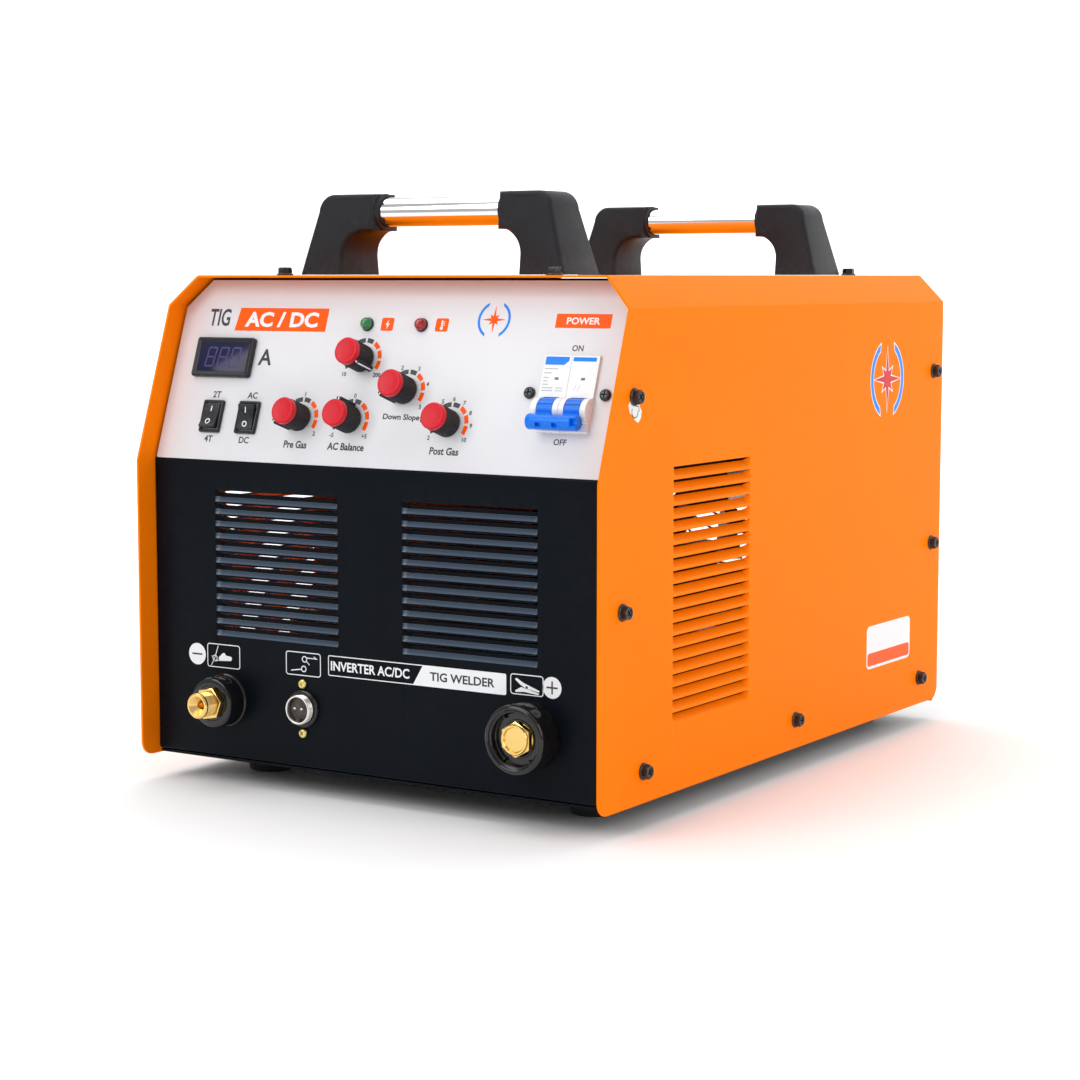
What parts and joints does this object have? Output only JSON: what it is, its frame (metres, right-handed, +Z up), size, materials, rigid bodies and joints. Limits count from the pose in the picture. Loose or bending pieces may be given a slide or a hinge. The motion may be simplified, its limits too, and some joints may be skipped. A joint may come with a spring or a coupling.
{
  "type": "tig welding machine",
  "caption": "Portable inverter TIG welding machine: folded steel case with louvres, sloped control panel, front sockets, two top handles and a rear cooling fan.",
  "frame": {"origin": "on the floor, under the middle of the case", "axes": "+Z up, +X to the right as seen from the front, -Y towards the user at the control panel"},
  "size_m": [0.333, 0.492, 0.3624],
  "materials": {
    "orange_paint": "satin orange powder coat with a very fine orange-peel texture",
    "black_paint": "satin black powder coat",
    "white_film": "satin printed polycarbonate film",
    "grained_plastic": "charcoal moulded plastic with a fine leather grain",
    "black_plastic": "satin black moulded plastic",
    "knob_plastic": "matt black moulded plastic, finely ribbed",
    "red_plastic": "satin red moulded plastic",
    "white_plastic": "smooth white moulded plastic",
    "blue_plastic": "smooth blue moulded plastic",
    "green_lens": "clear green lens",
    "red_lens": "clear red lens",
    "smoked_window": "dark blue smoked acrylic",
    "rubber": "black moulded rubber",
    "chrome": "bright chrome plate",
    "nickel": "satin nickel plate",
    "yellow_zinc": "yellow passivated zinc plate",
    "brass": "turned brass",
    "aluminium": "extruded aluminium",
    "green_board": "green solder mask with fitted components",
    "ferrite": "dark ferrite and taped winding",
    "enamelled_wire": "enamelled copper winding"
  },
  "bodies": {
    "case": {"cover_shell": "orange_paint", "front_panel": "black_paint", "control_overlay": "white_film", "rear_panel": "black_paint", "base_tray": "black_paint", "foot_front_left": "rubber", "foot_front_right": "rubber", "foot_rear_left": "rubber", "foot_rear_right": "rubber", "handle_post_front_left": "grained_plastic", "handle_post_front_right": "grained_plastic", "handle_post_rear_left": "grained_plastic", "handle_post_rear_right": "grained_plastic", "handle_bar_front": "chrome", "handle_bar_rear": "chrome", "display_bezel": "black_plastic", "display_window": "smoked_window", "indicator_green": "green_lens", "indicator_red": "red_lens", "switch_housing_mode": "black_plastic", "switch_housing_output": "black_plastic", "breaker_body": "white_plastic", "breaker_screw_left": "black_plastic", "breaker_screw_right": "black_plastic", "output_socket_boss": "black_plastic", "output_socket_insert": "brass", "torch_boss": "black_plastic", "torch_connector": "brass", "remote_socket_shell": "nickel", "remote_socket_insert": "black_plastic", "remote_screw_upper": "yellow_zinc", "remote_screw_lower": "yellow_zinc", "fan_frame": "black_plastic", "fan_guard": "chrome", "cable_gland": "black_plastic", "gas_inlet": "brass", "control_board": "green_board", "heatsink": "aluminium", "main_board": "green_board", "main_transformer": "ferrite", "output_reactor": "enamelled_wire", "arc_starter": "black_plastic", "gas_valve": "brass"},
    "current_knob": {"knob_current": "knob_plastic", "knob_cap_current": "red_plastic"},
    "down_slope_knob": {"knob_down_slope": "knob_plastic", "knob_cap_down_slope": "red_plastic"},
    "post_gas_knob": {"knob_post_gas": "knob_plastic", "knob_cap_post_gas": "red_plastic"},
    "ac_balance_knob": {"knob_ac_balance": "knob_plastic", "knob_cap_ac_balance": "red_plastic"},
    "pre_gas_knob": {"knob_pre_gas": "knob_plastic", "knob_cap_pre_gas": "red_plastic"},
    "mode_rocker": {"rocker_mode": "black_plastic"},
    "output_rocker": {"rocker_output": "black_plastic"},
    "power_toggle": {"breaker_toggle": "blue_plastic"},
    "fan": {"fan_rotor": "black_plastic"}
  },
  "joints": [
    {"name": "current_turn", "type": "hinge", "parent": "case", "child": "current_knob", "pos_m": [-0.0188, -0.19539, 0.26312], "axis": [0, 0.9466, -0.3225], "range_deg": [-260, 0]},
    {"name": "down_slope_turn", "type": "hinge", "parent": "case", "child": "down_slope_knob", "pos_m": [0.0166, -0.20142, 0.24542], "axis": [0, 0.9466, -0.3225], "range_deg": [0, 260]},
    {"name": "post_gas_turn", "type": "hinge", "parent": "case", "child": "post_gas_knob", "pos_m": [0.0512, -0.20752, 0.22753], "axis": [0, 0.9466, -0.3225], "range_deg": [-30, 230]},
    {"name": "ac_balance_turn", "type": "hinge", "parent": "case", "child": "ac_balance_knob", "pos_m": [-0.0194, -0.20752, 0.22753], "axis": [0, 0.9466, -0.3225], "range_deg": [-130, 130]},
    {"name": "pre_gas_turn", "type": "hinge", "parent": "case", "child": "pre_gas_knob", "pos_m": [-0.057, -0.20752, 0.22753], "axis": [0, 0.9466, -0.3225], "range_deg": [0, 260]},
    {"name": "mode_rock", "type": "hinge", "parent": "case", "child": "mode_rocker", "pos_m": [-0.1247, -0.21068, 0.22755], "axis": [1, 0, 0], "range_deg": [0, 20]},
    {"name": "output_rock", "type": "hinge", "parent": "case", "child": "output_rocker", "pos_m": [-0.0968, -0.21068, 0.22755], "axis": [-1, 0, 0], "range_deg": [0, 20]},
    {"name": "power_throw", "type": "hinge", "parent": "case", "child": "power_toggle", "pos_m": [0.1276, -0.20565, 0.23735], "axis": [-1, 0, 0], "range_deg": [0, 88]},
    {"name": "fan_spin", "type": "hinge", "parent": "case", "child": "fan", "pos_m": [0, 0.2, 0.17], "axis": [0, 1, 0], "continuous": true}
  ]
}
